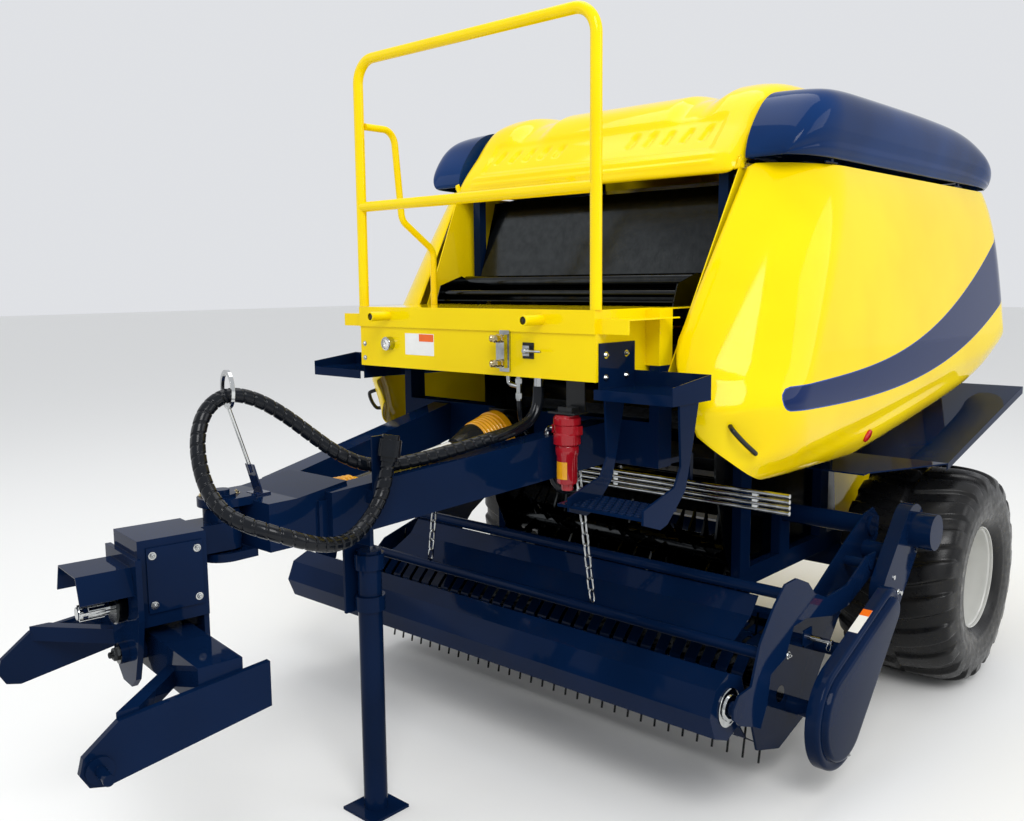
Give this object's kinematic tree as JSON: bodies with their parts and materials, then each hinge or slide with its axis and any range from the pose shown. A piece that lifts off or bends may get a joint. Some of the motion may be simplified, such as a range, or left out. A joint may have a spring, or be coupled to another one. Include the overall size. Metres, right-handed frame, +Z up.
{
  "type": "round baler",
  "caption": "Towed round baler with a swivel hitch head, low-slung tined pickup, roller bale chamber with opening tailgate, hinged side doors, front platform with handrail and flotation tyres.",
  "frame": {"origin": "on the ground below the middle of the machine's box", "axes": "+Z up, the front and hitch look along -Y, +X is the machine's left side"},
  "size_m": [2.6, 4.5295, 2.649],
  "materials": {
    "yellow_paint": "gloss, warm yellow enamel",
    "navy_paint": "gloss, dark blue enamel",
    "dark_steel": "worn dark steel of the bale chamber and feed parts",
    "bright_steel": "zinc plated bright steel",
    "red_paint": "gloss, red enamel",
    "rim_paint": "satin, silver grey",
    "tyre_rubber": "matte black rubber",
    "driveline_plastic": "satin yellow guard with black cones",
    "black_hose": "satin black plastic spiral over hoses"
  },
  "bodies": {
    "frame": {"main_frame": "navy_paint", "chamber_walls": "dark_steel", "front_rollers": "dark_steel", "net_box": "dark_steel", "net_box_cheeks": "yellow_paint", "platform": "yellow_paint", "handrail": "yellow_paint", "side_rail": "yellow_paint", "step_left": "navy_paint", "step_right": "navy_paint", "ladder": "navy_paint", "fairing_left": "navy_paint", "fairing_right": "navy_paint", "fender_left": "navy_paint", "fender_right": "navy_paint", "drawbar": "navy_paint", "driveline": "driveline_plastic", "gearbox": "dark_steel", "filter": "red_paint", "pipes": "bright_steel", "gauge": "bright_steel", "valve_block": "bright_steel", "switch": "bright_steel", "chain_left": "bright_steel", "chain_right": "bright_steel", "hose_holder": "navy_paint", "hose": "black_hose", "hose_port": "bright_steel", "hose_knot": "black_hose"},
    "tailgate": {"tailgate": "yellow_paint", "tailgate_rollers": "dark_steel"},
    "door_left": {"door_left": "yellow_paint"},
    "door_right": {"door_right": "yellow_paint"},
    "hood": {"hood": "yellow_paint"},
    "hitch_head": {"hitch_head": "navy_paint"},
    "hitch_yoke": {"hitch_yoke": "navy_paint"},
    "stand_leg": {"stand_leg": "navy_paint"},
    "pickup": {"pickup_frame": "navy_paint", "strippers": "navy_paint", "pickup_cover": "navy_paint", "pickup_case": "navy_paint"},
    "reel": {"pickup_reel": "dark_steel"},
    "wind_guard": {"wind_guard": "navy_paint"},
    "crop_roller": {"crop_roller": "navy_paint"},
    "feed_rotor": {"feed_rotor": "dark_steel"},
    "wheel_left": {"tyre_left": "tyre_rubber", "rim_left": "rim_paint"},
    "wheel_right": {"tyre_right": "tyre_rubber", "rim_right": "rim_paint"}
  },
  "joints": [
    {"name": "wheel_left_spin", "type": "hinge", "parent": "frame", "child": "wheel_left", "pos_m": [1.05, 1.22, 0.4725], "axis": [1, 0, 0], "continuous": true},
    {"name": "wheel_right_spin", "type": "hinge", "parent": "frame", "child": "wheel_right", "pos_m": [-1.05, 1.22, 0.4725], "axis": [1, 0, 0], "continuous": true},
    {"name": "tailgate_open", "type": "hinge", "parent": "frame", "child": "tailgate", "pos_m": [0, 1.05, 2.4], "axis": [1, 0, 0], "range_deg": [0, 75]},
    {"name": "door_left_open", "type": "hinge", "parent": "frame", "child": "door_left", "pos_m": [0.945, 1, 2.186], "axis": [0, -1, 0], "range_deg": [0, 75]},
    {"name": "door_right_open", "type": "hinge", "parent": "frame", "child": "door_right", "pos_m": [-0.945, 1, 2.186], "axis": [0, 1, 0], "range_deg": [0, 75]},
    {"name": "hood_open", "type": "hinge", "parent": "frame", "child": "hood", "pos_m": [0, 0.93, 2.49], "axis": [-1, 0, 0], "range_deg": [0, 60]},
    {"name": "hitch_yaw", "type": "hinge", "parent": "frame", "child": "hitch_head", "pos_m": [0, -1.663, 1.05], "axis": [0, 0, 1], "range_deg": [-52, 68]},
    {"name": "yoke_roll", "type": "hinge", "parent": "hitch_head", "child": "hitch_yoke", "pos_m": [-0.02644, -1.85115, 0.742], "axis": [-0.1392, -0.9903, 0], "range_deg": [-15, 15]},
    {"name": "stand_slide", "type": "slide", "parent": "frame", "child": "stand_leg", "axis": [0, 0, 1], "range_m": [0, 0.3]},
    {"name": "pickup_lift", "type": "hinge", "parent": "frame", "child": "pickup", "pos_m": [0, 0.62, 0.78], "axis": [-1, 0, 0], "range_deg": [0, 12]},
    {"name": "reel_spin", "type": "hinge", "parent": "pickup", "child": "reel", "pos_m": [0, -0.13, 0.32], "axis": [1, 0, 0], "continuous": true},
    {"name": "wind_guard_lift", "type": "hinge", "parent": "pickup", "child": "wind_guard", "pos_m": [0, 0.385, 0.69], "axis": [-1, 0, 0], "range_deg": [0, 10], "deforming": ["chain_left", "chain_right"]},
    {"name": "crop_roller_spin", "type": "hinge", "parent": "wind_guard", "child": "crop_roller", "pos_m": [0, -0.59, 0.444], "axis": [1, 0, 0], "continuous": true},
    {"name": "feed_rotor_spin", "type": "hinge", "parent": "frame", "child": "feed_rotor", "pos_m": [0, 0.37, 0.62], "axis": [1, 0, 0], "continuous": true}
  ]
}
